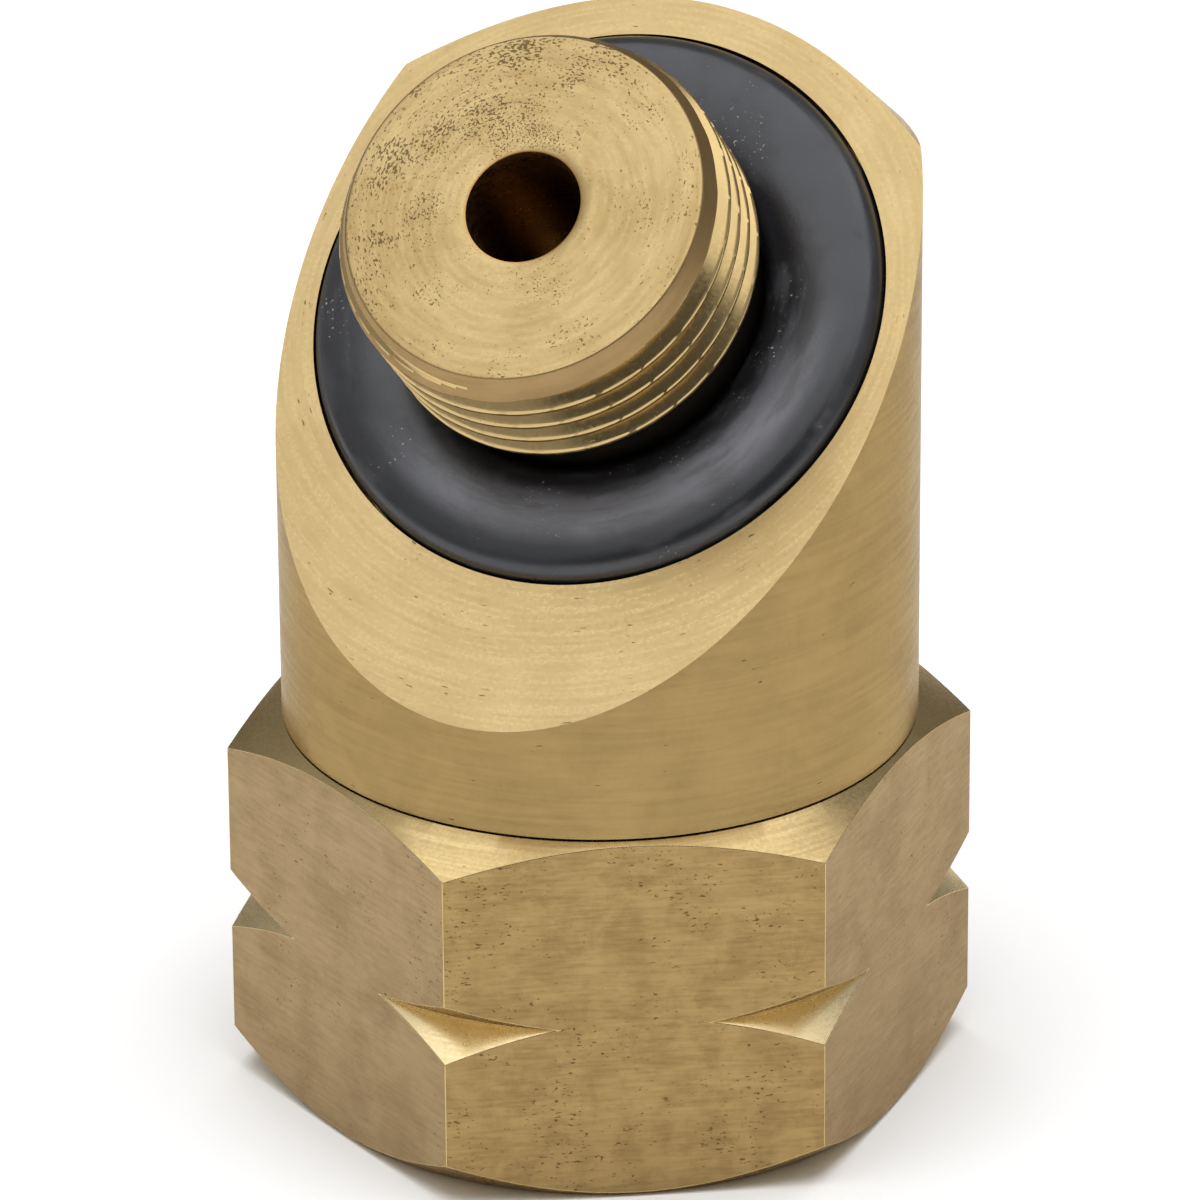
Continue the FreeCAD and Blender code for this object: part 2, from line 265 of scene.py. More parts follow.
# %% [markdown]
# ## Helpers for materials
#
# A procedural material is a tree of shader nodes. Linking them by hand takes many lines, so
# a few helpers come first: one makes a node and links its inputs by name, and the others
# are the steps that every finish here uses, such as a noise and a soft threshold.

# %% Small helpers for shader nodes
def add_node(tree, kind, settings=None, **sockets):
    """Make a node, set its properties, and set or link its inputs by name."""
    made = tree.nodes.new(kind)
    for name, value in (settings or {}).items():
        setattr(made, name, value)
    for name, value in sockets.items():
        key = int(name[1:]) if name[0] == "i" and name[1:].isdigit() else name.replace("_", " ")
        if isinstance(value, bpy.types.NodeSocket):
            tree.links.new(value, made.inputs[key])
        else:
            made.inputs[key].default_value = value
    return made


def maths(tree, operation, first, second=0.0):
    """One Math node's result."""
    return add_node(tree, "ShaderNodeMath", {"operation": operation}, i0=first, i1=second).outputs[0]


def ramp(tree, value, low, high, from_value=0.0, to_value=1.0):
    """Spread a value between two limits, clamped and eased at both ends."""
    made = add_node(
        tree, "ShaderNodeMapRange", {"interpolation_type": "SMOOTHSTEP"},
        Value=value, From_Min=low, From_Max=high, To_Min=from_value, To_Max=to_value,
    )
    return made.outputs[0]


def mix_colour(tree, amount, first, second):
    """Blend two colours."""
    made = add_node(tree, "ShaderNodeMix", {"data_type": "RGBA"})
    for index, value in ((0, amount), (6, first), (7, second)):
        if isinstance(value, bpy.types.NodeSocket):
            tree.links.new(value, made.inputs[index])
        else:
            made.inputs[index].default_value = value
    return made.outputs[2]


def noise(tree, vector, scale, detail=3.0, roughness=0.55, distortion=0.0):
    """A noise texture's value."""
    made = add_node(
        tree, "ShaderNodeTexNoise", Vector=vector, Scale=scale, Detail=detail,
        Roughness=roughness, Distortion=distortion,
    )
    return made.outputs[0]


def vector_maths(tree, operation, first, second=(0, 0, 0)):
    """One Vector Math node; its outputs are Vector and Value."""
    return add_node(tree, "ShaderNodeVectorMath", {"operation": operation}, i0=first, i1=second).outputs


def axis_coordinates(tree, place):
    """Millimetres seen from a lathe axis: the point, its radius, its height and its direction."""
    back = place.inverted()
    spot = add_node(tree, "ShaderNodeTexCoord").outputs["Object"]
    point = add_node(
        tree, "ShaderNodeMapping", {"vector_type": "POINT"}, Vector=spot,
        Location=back.translation, Rotation=back.to_euler(), Scale=(1 / MM, 1 / MM, 1 / MM),
    ).outputs[0]
    flat = vector_maths(tree, "MULTIPLY", point, (1, 1, 0))["Vector"]
    radius = vector_maths(tree, "LENGTH", flat)["Value"]
    direction = vector_maths(tree, "NORMALIZE", flat)["Vector"]
    height = add_node(tree, "ShaderNodeSeparateXYZ", Vector=point).outputs["Z"]
    return point, radius, height, direction


def lay_vector(tree, across, along, stretch):
    """A vector that changes fast across the tool marks and slowly along them."""
    way = add_node(tree, "ShaderNodeSeparateXYZ", Vector=along)
    slow_x = maths(tree, "MULTIPLY", way.outputs["X"], stretch)
    slow_y = maths(tree, "MULTIPLY", way.outputs["Y"], stretch)
    return add_node(tree, "ShaderNodeCombineXYZ", X=across, Y=slow_x, Z=slow_y).outputs[0]


# %% [markdown]
# ## Brass
#
# Brass is a plain metal shader: all of its character comes from small things. A cutting tool leaves fine
# rings or arcs round its axis, so the pattern is read in the axis's own coordinates: distance from the axis
# on a flat face, height along it on a round one. Bar stock that was never turned keeps a darker drawn skin
# with pits and streaks, and here its brass is darker still: a painted shade for the dim room that its
# upright sides mirror.

# %% The brass shader
BRIGHT_BRASS = (0.66, 0.50, 0.245, 1)
DULL_BRASS = (0.43, 0.295, 0.12, 1)
PIT_BROWN = (0.13, 0.08, 0.033, 1)
BRASS_AT_GRAZING = (0.82, 0.75, 0.66, 1)
MARK_DEPTH = 0.02 * MM


def make_brass(
    name, place, lay, bright=BRIGHT_BRASS, dull=DULL_BRASS, dullness=0.3, stain_size=0.25,
    roughness=0.33, marks=0.5, mark_size=4.0, pits=0.3, pit_size=2.5, stretch=0.7, pit_stretch=4.0,
    worn_side=(0, 0, 0),
):
    """Metal with tool marks as rings on a face, hoops on a bar or lines on flats, with stains and pits."""
    material = bpy.data.materials.new(name)
    material.use_nodes = True
    tree = material.node_tree
    tree.nodes.clear()
    point, radius, height, direction = axis_coordinates(tree, place)
    across = {"rings": radius, "hoops": height, "flats": height}[lay]
    along = point if lay == "flats" else direction
    marks_vector = lay_vector(tree, across, along, stretch)
    fine = noise(tree, marks_vector, mark_size, 4.0, 0.55)
    broad = noise(tree, marks_vector, mark_size * 0.18, 2.0, 0.5)
    stain = noise(tree, point, stain_size, 4.0, 0.6, 0.4)
    speckle = noise(tree, point, 5.0, 3.0, 0.6)
    pit_vector = lay_vector(tree, maths(tree, "MULTIPLY", across, 1.6), along, pit_stretch)
    pit_field = noise(tree, pit_vector, pit_size, 2.0, 0.5, 0.3)
    worn = vector_maths(tree, "DOT_PRODUCT", point, worn_side)["Value"]
    patch = ramp(tree, noise(tree, point, pit_size * 0.07, 2.0, 0.5), 0.42, 0.62, 0.0, 0.1)
    patch = maths(tree, "ADD", patch, ramp(tree, worn, -3.0, 7.0, -0.04, 0.07))
    pit = ramp(tree, maths(tree, "ADD", pit_field, patch), 0.80 - 0.12 * pits, 0.86 - 0.12 * pits)

    tarnish = ramp(tree, stain, 0.38, 0.66, 0.0, 0.55)
    tarnish = maths(tree, "ADD", tarnish, ramp(tree, fine, 0.3, 0.75, 0.0, 0.35))
    tarnish = maths(tree, "ADD", tarnish, ramp(tree, broad, 0.35, 0.7, 0.0, 0.2))
    tarnish = maths(tree, "MULTIPLY", tarnish, dullness)
    colour = mix_colour(tree, tarnish, bright, dull)
    colour = mix_colour(tree, maths(tree, "MULTIPLY", pit, 0.65), colour, PIT_BROWN)

    swing = 0.06 + 0.1 * marks
    rough = ramp(tree, fine, 0.25, 0.75, roughness - 0.4 * swing, roughness + 0.6 * swing)
    rough = maths(tree, "ADD", rough, ramp(tree, speckle, 0.35, 0.7, -0.03, 0.05))
    rough = maths(tree, "ADD", rough, maths(tree, "MULTIPLY", pit, 0.25))

    relief = maths(tree, "MULTIPLY", fine, marks)
    relief = maths(tree, "ADD", relief, maths(tree, "MULTIPLY", broad, marks * 1.2))
    relief = maths(tree, "ADD", relief, maths(tree, "MULTIPLY", speckle, 0.06))
    relief = maths(tree, "SUBTRACT", relief, maths(tree, "MULTIPLY", pit, 1.5))
    bump = add_node(tree, "ShaderNodeBump", Strength=0.6, Distance=MARK_DEPTH, Height=relief).outputs[0]

    shader = add_node(
        tree, "ShaderNodeBsdfPrincipled", Base_Color=colour, Roughness=rough, Normal=bump, Metallic=1.0,
        Specular_Tint=BRASS_AT_GRAZING,
    )
    output = add_node(tree, "ShaderNodeOutputMaterial")
    tree.links.new(shader.outputs[0], output.inputs["Surface"])
    return material


# %% [markdown]
# ## Rubber
#
# Seal rubber is black and smooth, and dielectric: nearly all that the eye sees of it is the soft reflection
# on its crown. Handling leaves faint scuffs along the ring and a few specks of pale dust, which make it
# look like rubber and not like paint. A grey patch low on the crown, on the side that is lowest, is partly
# scuffing and partly a painted sheen that adds to the crown's reflection.

# %% The rubber shader
RUBBER_BLACK = (0.011, 0.011, 0.013, 1)
RUBBER_SCUFF = (0.05, 0.05, 0.055, 1)
# Grey for the crown's low patch: partly scuffing and partly a painted sheen.
RUBBER_SCUFF_AND_SHEEN = (0.23, 0.235, 0.265, 1)
DUST = (0.45, 0.44, 0.42, 1)
LOW_SIDE = (0.4, -0.9, 0.0)


def make_rubber(name, place, roughness=0.3):
    """Black moulded rubber with scuffs along the ring, a grey patch low on its crown that is partly
    scuffing and partly painted sheen, and specks of dust.
    """
    material = bpy.data.materials.new(name)
    material.use_nodes = True
    tree = material.node_tree
    tree.nodes.clear()
    point, radius, _, direction = axis_coordinates(tree, place)
    scuff_field = noise(tree, lay_vector(tree, radius, direction, 2.2), 1.6, 4.0, 0.6)
    cloud = noise(tree, point, 0.35, 3.0, 0.6)
    grain = noise(tree, point, 9.0, 3.0, 0.6)
    speck = ramp(tree, noise(tree, point, 7.0, 1.0, 0.4), 0.69, 0.72)
    patch = ramp(tree, cloud, 0.44, 0.6)
    dust = maths(tree, "MULTIPLY", speck, ramp(tree, cloud, 0.55, 0.68))
    scuff = maths(tree, "MULTIPLY", ramp(tree, scuff_field, 0.45, 0.7), patch)
    colour = mix_colour(tree, maths(tree, "MULTIPLY", scuff, 0.5), RUBBER_BLACK, RUBBER_SCUFF)
    # Painted sheen: a grey patch low on the crown, on its lowest side and streaked by the scuffs, stands in
    # for part of the crown's reflection.
    low_side = vector_maths(tree, "DOT_PRODUCT", point, LOW_SIDE)["Value"]
    scuff_and_sheen = maths(tree, "MULTIPLY", ramp(tree, low_side, 2.0, 9.5), ramp(tree, radius, 9.0, 10.3))
    scuff_and_sheen = maths(tree, "MULTIPLY", scuff_and_sheen, ramp(tree, radius, 10.9, 12.3, 1.0, 0.0))
    scuff_and_sheen = maths(tree, "MULTIPLY", scuff_and_sheen, ramp(tree, scuff_field, 0.3, 0.6, 0.55, 1.0))
    colour = mix_colour(tree, maths(tree, "MULTIPLY", scuff_and_sheen, 0.85), colour, RUBBER_SCUFF_AND_SHEEN)
    colour = mix_colour(tree, maths(tree, "MULTIPLY", dust, 0.7), colour, DUST)
    rough = ramp(tree, cloud, 0.3, 0.7, roughness - 0.05, roughness + 0.08)
    rough = maths(tree, "ADD", rough, maths(tree, "MULTIPLY", scuff, 0.25))
    relief = maths(tree, "MULTIPLY", grain, 0.4)
    relief = maths(tree, "ADD", relief, maths(tree, "MULTIPLY", scuff_field, 0.6))
    bump = add_node(tree, "ShaderNodeBump", Strength=0.5, Distance=MARK_DEPTH, Height=relief).outputs[0]
    shader = add_node(
        tree, "ShaderNodeBsdfPrincipled", Base_Color=colour, Roughness=rough, Normal=bump,
        Specular_IOR_Level=0.9, Specular_Tint=(0.93, 0.95, 1.0, 1),
    )
    output = add_node(tree, "ShaderNodeOutputMaterial")
    tree.links.new(shader.outputs[0], output.inputs["Surface"])
    return material


# %% [markdown]
# ## One finish for each kind of surface
#
# Each kind of surface gets its own mix of the same brass: how bright, how stained, how strong the marks and
# how many pits. The nipple's face has the most pits, thickest on its upper left side. Some of the
# differences are painted light and shade: the round bar and the nut's flats are darker than turned brass,
# partly their drawn skin and partly painted shade for the dim room they mirror; the nipple's chamfer is a
# darker painted shade; the neck under the thread is a near-black painted shade; the lower sides of the
# nut's notches carry a painted highlight; and the bores are a redder brass, a painted glow of light bounced
# inside them. One flat of the nut, the one facing the front, keeps the yellow of drawn bar, and the others
# are paler and pinker.

# %% Finishes on the leaning pieces
slope_brass = make_brass(
    "slope_brass", LEANING, "rings", bright=(0.615, 0.462, 0.225, 1), dullness=0.36, roughness=0.30,
    marks=0.13, mark_size=5.5, pits=0.25, pit_size=5.0)
face_brass = make_brass(
    "nipple_face_brass", LEANING, "rings", bright=(0.59, 0.443, 0.211, 1), dullness=0.75, roughness=0.31,
    marks=0.4, mark_size=3.6, pits=0.95, pit_size=6.5, pit_stretch=6.0, worn_side=(-0.8, 0.6, 0))
# Painted shade: the nipple's chamfer is a darker copy of its turned brass.
nipple_chamfer_shaded_brass = make_brass(
    "nipple_chamfer_shaded_brass", LEANING, "hoops", bright=(0.38, 0.255, 0.115, 1), dull=(0.25, 0.16, 0.07, 1),
    dullness=0.5, roughness=0.42, marks=0.3, pits=0.0)
thread_brass = make_brass(
    "thread_brass", LEANING, "hoops", bright=(0.60, 0.44, 0.205, 1), dullness=0.3, roughness=0.2,
    marks=0.1, mark_size=5.0, pits=0.0)
# Painted shade: the neck under the thread is near-black brass, standing in for the shadow there and the
# black ring it mirrors.
undercut_painted_shade_brass = make_brass(
    "undercut_painted_shade_brass", LEANING, "hoops", bright=(0.05, 0.04, 0.03, 1), dull=(0.02, 0.015, 0.01, 1),
    roughness=0.5, marks=0.1, pits=0.0)
copper = make_brass(
    "soft_copper", LEANING, "rings", bright=(0.75, 0.38, 0.24, 1), dull=(0.45, 0.2, 0.12, 1),
    roughness=0.35)
seal_rubber = make_rubber("seal_rubber", LEANING)
print("leaning finishes:", len(bpy.data.materials))

# %% Finishes on the upright pieces
# Painted shade: the round bar and the nut's flats get a darker brass than turned faces, partly their drawn
# skin and partly shade for the dim room that their upright sides mirror.
bar_brass = make_brass(
    "round_bar_shaded_brass", UPRIGHT, "hoops", bright=(0.375, 0.262, 0.105, 1), dull=(0.26, 0.172, 0.065, 1),
    dullness=0.6, roughness=0.34, marks=0.35, mark_size=4.0, pits=0.1, pit_size=4.0)
hexagon_brass = make_brass(
    "drawn_shaded_hexagon_brass", UPRIGHT, "flats", bright=(0.42, 0.288, 0.118, 1), dull=(0.215, 0.133, 0.05, 1),
    dullness=0.62, stain_size=0.6, roughness=0.38, marks=0.6, mark_size=6.0, stretch=0.1,
    pits=0.75, pit_size=5.5, pit_stretch=0.6)
# The side flats are paler and pinker than the front flat, with the same painted shade.
shaded_side_flat_brass = make_brass(
    "side_flat_shaded_hexagon_brass", UPRIGHT, "flats", bright=(0.41, 0.297, 0.161, 1), dull=(0.23, 0.15, 0.075, 1),
    dullness=0.55, stain_size=0.35, roughness=0.4, marks=0.35, mark_size=6.0, stretch=0.1,
    pits=0.4, pit_size=5.5, pit_stretch=0.6)
chamfer_brass = make_brass(
    "turned_chamfer_brass", UPRIGHT, "rings", dullness=0.6, roughness=0.26,
    marks=0.35, mark_size=5.0, stretch=0.5, pits=0.0)
# Painted highlight: the notches' lower sides get an almost white, pale brass so that they shine.
notch_painted_highlight_brass = make_brass(
    "notch_painted_highlight_brass", UPRIGHT, "rings", bright=(0.90, 0.73, 0.42, 1), dull=(0.74, 0.57, 0.29, 1),
    dullness=0.3, roughness=0.28, marks=0.25, mark_size=5.0, stretch=0.5, pits=0.0)
# Painted glow: the bores get a redder, orange brass that stands in for light bounced inside them.
bore_painted_glow_brass = make_brass(
    "bore_painted_glow_brass", UPRIGHT, "hoops", bright=(0.60, 0.34, 0.13, 1), dullness=0.6, roughness=0.30, pits=0.1)
gasket_rubber = make_rubber("gasket_rubber", UPRIGHT, roughness=0.45)
print("materials:", [material.name for material in bpy.data.materials])

# %% [markdown]
# ## Union nut
#
# The nut is hexagon bar, faced and chamfered at both ends, with a V groove turned round it.
# The groove is shallower than the corners stand out, so it only notches them: that is the
# sign for a left-hand thread. A hexagonal prism is intersected with a turned blank that
# has the chamfers and the groove, and then the threaded bore is cut out of it.

# %% Shape the nut
NUT_RIM = 14.73
NUT_TOP_SLOPE = 0.579
NUT_FOOT_RIM = 14.70
NUT_FOOT_SLOPE = 0.79
NOTCH_HEIGHT = 8.75
NOTCH_ROOT = 15.4
NOTCH_SLOPE = 0.7665
BLANK_RADIUS = 18.2
NUT_THREAD_CREST = 9.74
NUT_THREAD_ROOT = 10.9
NUT_THREAD_PITCH = 25.4 / 14
NUT_THREAD_END = 10.2
MOUTH_RADIUS = 10.95
RELIEF_RADIUS = 11.1
WEB_UNDER = 13.8
WEB_HOLE = 8.2


def nut_blank():
    """The turned outside of the nut: two chamfers and a V groove."""
    over = BLANK_RADIUS - NUT_RIM
    notch = (BLANK_RADIUS - NOTCH_ROOT) * NOTCH_SLOPE
    return turned("nut_blank", [
        (0.0, 0.0),
        (NUT_FOOT_RIM, 0.0),
        (BLANK_RADIUS, (BLANK_RADIUS - NUT_FOOT_RIM) * NUT_FOOT_SLOPE),
        (BLANK_RADIUS, NOTCH_HEIGHT - notch),
        (NOTCH_ROOT, NOTCH_HEIGHT),
        (BLANK_RADIUS, NOTCH_HEIGHT + notch),
        (BLANK_RADIUS, NUT_HEIGHT - over * NUT_TOP_SLOPE),
        (NUT_RIM, NUT_HEIGHT),
        (0.0, NUT_HEIGHT),
    ], columns=360)


def hexagon_prism():
    """Hexagon bar with two corners on the Y axis, longer than the nut at both ends."""
    corner = ACROSS_FLATS / 2 / math.cos(math.radians(30))
    outline = [(0, -2), (corner, -2), (corner, NUT_HEIGHT + 2), (0, NUT_HEIGHT + 2)]
    return turned("nut_bar", outline, columns=6, place=Matrix.Rotation(math.radians(90), 4, "Z"))


def nut_bore_row(height):
    """The bore's radius at one height, all the way round: mouth cone or left-hand thread."""
    mouth = MOUTH_RADIUS - max(0.0, height)

    def row(turn):
        depth = 1 - thread_height(height, turn, NUT_THREAD_PITCH, -1)
        return max(mouth, NUT_THREAD_CREST + (NUT_THREAD_ROOT - NUT_THREAD_CREST) * depth), height

    return row


def nut_bore():
    """The cutter for the nut's inside: threaded bore, relief, and the hole in the web."""
    rows = [(0.0, -2.0), (MOUTH_RADIUS, -2.0)]
    rows += [nut_bore_row(height) for height in steps(-0.05, NUT_THREAD_END, 0.1)]
    rows += [(RELIEF_RADIUS, NUT_THREAD_END + 0.2), (RELIEF_RADIUS, WEB_UNDER)]
    rows += [(WEB_HOLE, WEB_UNDER), (WEB_HOLE, NUT_HEIGHT + 2), (0.0, NUT_HEIGHT + 2)]
    return turned("nut_bore", rows, columns=144)


union_nut = hexagon_prism()
union_nut.name = "union_nut_turned"
cut(union_nut, nut_blank(), "INTERSECT")
cut(union_nut, nut_bore())
print("nut faces:", len(union_nut.data.polygons))


# %% Finish the nut
def paint_by(piece, materials, choose):
    """Give a piece its materials, and let a function choose one for each face by centre and normal."""
    piece.data.materials.clear()
    for material in materials:
        piece.data.materials.append(material)
    for face in piece.data.polygons:
        face.material_index = choose(face.center / MM, face.normal)


FRONT_FLAT, TURNED, BORE, NOTCH, SIDE_FLAT = range(5)
FRONT_FLAT_FACING = Vector((0.5, -math.sqrt(0.75), 0.0))


def nut_finish(centre, normal):
    """Which finish a face of the nut has; the notches' lower sides get a painted highlight."""
    if math.hypot(centre.x, centre.y) < MOUTH_RADIUS + 0.01:
        return BORE
    if abs(normal.z) < 0.05:
        return FRONT_FLAT if normal.dot(FRONT_FLAT_FACING) > 0.99 else SIDE_FLAT
    # Notch faces that face upwards get the painted highlight.
    return NOTCH if abs(centre.z - NOTCH_HEIGHT) < 2.0 and normal.z > 0 else TURNED


paint_by(union_nut, [hexagon_brass, chamfer_brass, bore_painted_glow_brass, notch_painted_highlight_brass, shaded_side_flat_brass], nut_finish)
round_edges(union_nut, 0.16, finish=TURNED)
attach(union_nut, "union_nut")
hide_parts("union_nut")
print("nut materials:", [material.name for material in union_nut.data.materials])

# %% [markdown]
# ## Body
#
# The body is round bar with a 45 degree chamfer round its crown, cut off along a slope. The
# slope has a flat-bottomed recess for the rubber ring, and behind it the nipple's socket.
# Each cut is made with a turned cutter that stands on the slope.

# %% Shape the body
CROWN_SUM = 59.70
CROWN_RADIUS = 10.5
RECESS_RADIUS = 13.6
RECESS_DEPTH = 3.4
SOCKET_RADIUS = 6.05
SOCKET_DEPTH = 10.4
PASSAGE_RADIUS = 5.3
PASSAGE_DEPTH = 13.0
SPIGOT_BORE = 7.65
SPIGOT_BORE_TOP = 21.7
STEM_SOCKET_TOP = 27.6


def slope_block():
    """Everything above the sloping face."""
    return turned("slope_block", [(0, 0), (60, 0), (60, 60), (0, 60)], columns=4, place=LEANING)


elbow_body = turned("elbow_body_turned", [
    (0.0, BODY_FOOT),
    (BODY_RADIUS, BODY_FOOT),
    (BODY_RADIUS, CROWN_SUM - BODY_RADIUS),
    (CROWN_RADIUS, CROWN_SUM - CROWN_RADIUS),
    (0.0, CROWN_SUM - CROWN_RADIUS),
], columns=360)
cut(elbow_body, slope_block())
cut(elbow_body, turned("recess_cutter", [
    (0.0, 4.0),
    (RECESS_RADIUS, 4.0),
    (RECESS_RADIUS, -RECESS_DEPTH),
    (SOCKET_RADIUS, -RECESS_DEPTH),
    (SOCKET_RADIUS, -SOCKET_DEPTH),
    (PASSAGE_RADIUS, -SOCKET_DEPTH),
    (PASSAGE_RADIUS, -PASSAGE_DEPTH),
    (0.0, -PASSAGE_DEPTH),
], columns=256, place=LEANING))
cut(elbow_body, turned("stem_cutter", [
    (0.0, BODY_FOOT - 4.0),
    (SPIGOT_BORE, BODY_FOOT - 4.0),
    (SPIGOT_BORE, SPIGOT_BORE_TOP),
    (SOCKET_RADIUS, SPIGOT_BORE_TOP),
    (SOCKET_RADIUS, STEM_SOCKET_TOP),
    (0.0, STEM_SOCKET_TOP),
], columns=128))
print("body faces:", len(elbow_body.data.polygons))


# %% Finish the body
ROUND, SLOPE, CROWN, INSIDE = range(4)


def body_finish(centre, normal):
    """Which finish a face of the body has; its foot is turned like the crown's chamfer."""
    local = LEANING.inverted() @ centre
    if normal.dot(OUTLET_AXIS) > 0.999 and abs(local.z) < 0.01:
        return SLOPE
    faces_inwards = normal.dot(centre) < 0
    if math.hypot(local.x, local.y) < RECESS_RADIUS + 0.01 and abs(local.z) < 20 and faces_inwards:
        return INSIDE
    return CROWN if abs(normal.z) > 0.05 else ROUND


paint_by(elbow_body, [bar_brass, slope_brass, chamfer_brass, bore_painted_glow_brass], body_finish)
round_edges(elbow_body, 0.09)
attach(elbow_body, "adapter_body")
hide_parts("elbow_body")
print("body materials:", [material.name for material in elbow_body.data.materials])

# %% [markdown]
# ## Nipple
#
# The nipple is one turned piece, so its outline runs from the shank inside the body, up the
# undercut neck, over the thread and the chamfered edge of the flat face, and back down
# the bore. Only the threaded stretch needs rows that change as they go round. Its groove
# runs out, which means that it gets shallower, just under the face.

# %% Turn the nipple
NIPPLE_FACE = 11.2
FACE_RADIUS = 8.3
CHAMFER = math.tan(math.radians(30))
THREAD_END = 3.9
NECK_RADIUS = 7.9
NIPPLE_PITCH = 1.5
NIPPLE_ROOT = 8.08
CREST_AT = 9.076
GROOVE_ENDS = 10.95
RUN_OUT = 0.5
NECK_TOP = 2.6
BORE_RADIUS = 2.65
SHANK_RADIUS = 6.0
SHANK_END = -9.4
SHOULDER_AT = -2.4


def nipple_row(height):
    """The nipple's radius at one height: the thread, kept inside the chamfers at its two ends."""
    top_limit = FACE_RADIUS + (NIPPLE_FACE - height) * CHAMFER
    end_limit = NECK_RADIUS + max(0.0, height - (THREAD_END - THREAD_RADIUS + NECK_RADIUS))
    fade = min(1.0, max(0.0, (GROOVE_ENDS - height) / RUN_OUT))

    def row(turn):
        stand = thread_height(height, turn, NIPPLE_PITCH, 1, CREST_AT)
        groove = (THREAD_RADIUS - NIPPLE_ROOT) * (1 - stand) * fade
        return min(THREAD_RADIUS - groove, top_limit, end_limit), height

    return row


def nipple_rows():
    """The nipple's whole closed outline."""
    shank = [
        (BORE_RADIUS, SHANK_END),
        (SHANK_RADIUS, SHANK_END),
        (SHANK_RADIUS, SHOULDER_AT),
        (NECK_RADIUS, SHOULDER_AT),
    ]
    foot = softened(shank, 0.15)[3:]
    thread = [nipple_row(height) for height in steps(NECK_TOP, NIPPLE_FACE - 0.03, 0.06)]
    face = [
        (FACE_RADIUS - 0.03, NIPPLE_FACE - 0.005),
        (FACE_RADIUS - 0.1, NIPPLE_FACE),
        (FACE_RADIUS - 0.6, NIPPLE_FACE),
        (BORE_RADIUS + 0.6, NIPPLE_FACE),
        (BORE_RADIUS + 0.12, NIPPLE_FACE),
        (BORE_RADIUS + 0.03, NIPPLE_FACE - 0.03),
        (BORE_RADIUS, NIPPLE_FACE - 0.12),
        (BORE_RADIUS, NIPPLE_FACE - 1.0),
        (BORE_RADIUS, SHANK_END + 0.2),
        (BORE_RADIUS + 0.2, SHANK_END),
    ]
    return foot + thread + face


FACE, THREAD, HOLE, NECK, EDGE = range(5)
CHAMFER_FOOT = 10.0


def nipple_finish(centre, normal):
    """Which finish a face of the nipple has."""
    local = LEANING.inverted() @ centre
    radius = math.hypot(local.x, local.y)
    if radius < BORE_RADIUS + 0.1:
        return HOLE
    # Near-black painted shade on the neck under the thread.
    if local.z < THREAD_END - 0.5:
        return NECK
    if normal.dot(OUTLET_AXIS) > 0.98 and local.z > NIPPLE_FACE - 0.1:
        return FACE
    on_chamfer = radius > FACE_RADIUS + (NIPPLE_FACE - local.z) * CHAMFER - 0.02
    return EDGE if on_chamfer and local.z > CHAMFER_FOOT else THREAD


outlet_nipple = turned("outlet_nipple_turned", nipple_rows(), columns=288, place=LEANING)
nipple_materials = [face_brass, thread_brass, bore_painted_glow_brass, undercut_painted_shade_brass, nipple_chamfer_shaded_brass]
paint_by(outlet_nipple, nipple_materials, nipple_finish)
shade_smooth(outlet_nipple, 50)
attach(outlet_nipple, "adapter_body")
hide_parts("outlet_nipple")
print("nipple faces:", len(outlet_nipple.data.polygons))

# %% [markdown]
# ## Rubber ring
#
# The ring is moulded: gently domed on top, with a round outer shoulder, a small inner lip
# and a flat foot. A moulding is never perfectly true. It wanders by a few hundredths of a
# millimetre as it goes round, which breaks up the long highlight on its crown, so every row
# of its outline is a function of the turn.

# %% Mould the ring
SHOULDER = 1.1
CROWN_AT = 10.6
CROWN_HEIGHT = 1.15
DOME = 8.2
LIP_RADIUS = 8.6
SEAL_INNER = 8.0
FOOT_STAYS_FLAT = 1 - RECESS_DEPTH


def arc(centre, radius, first, last, size):
    """Points along an arc in the (radius, height) plane."""
    middle, height = centre
    angles = steps(first, last, size)
    return [(middle + radius * math.cos(angle), height + radius * math.sin(angle)) for angle in angles]


def seal_outline():
    """The ring's section as (radius, height) points, from outer foot over the crown to inner foot."""
    across = SEAL_OUTER - SHOULDER - CROWN_AT
    rise = math.sqrt((DOME - SHOULDER) ** 2 - across ** 2)
    dome_centre = (CROWN_AT, CROWN_HEIGHT - DOME)
    meeting = math.atan2(rise, across)
    shoulder = arc((CROWN_AT + across, dome_centre[1] + rise), SHOULDER, 0.0, meeting, 0.12)
    dome_end = math.pi / 2 + math.asin((CROWN_AT - LIP_RADIUS) / DOME)
    top = arc(dome_centre, DOME, meeting, dome_end, 0.025)
    lip = top[-1][1] - (LIP_RADIUS - SEAL_INNER)
    inside = [(SEAL_INNER, lip), (SEAL_INNER, -RECESS_DEPTH)]
    return [(SEAL_OUTER, -RECESS_DEPTH)] + shoulder + top[1:] + inside


def seal_row(radius, height, index):
    """One line round the ring, wandering slightly but never beyond its true section."""

    def row(turn):
        wander = 0.012 * math.sin(3 * turn + 1.0) + 0.008 * math.sin(7 * turn + 2.0 + index * 0.05) - 0.02
        lift = wander if height > FOOT_STAYS_FLAT else 0.0
        return radius + wander, height + lift

    return row


seal_rows = [seal_row(radius, height, index) for index, (radius, height) in enumerate(seal_outline())]
seal_ring = turned("outlet_seal_ring_moulded", seal_rows, columns=256, place=LEANING)
seal_ring.data.materials.append(seal_rubber)
shade_smooth(seal_ring, 60)
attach(seal_ring, "adapter_body")
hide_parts("outlet_seal_ring")
print("ring faces:", len(seal_ring.data.polygons))

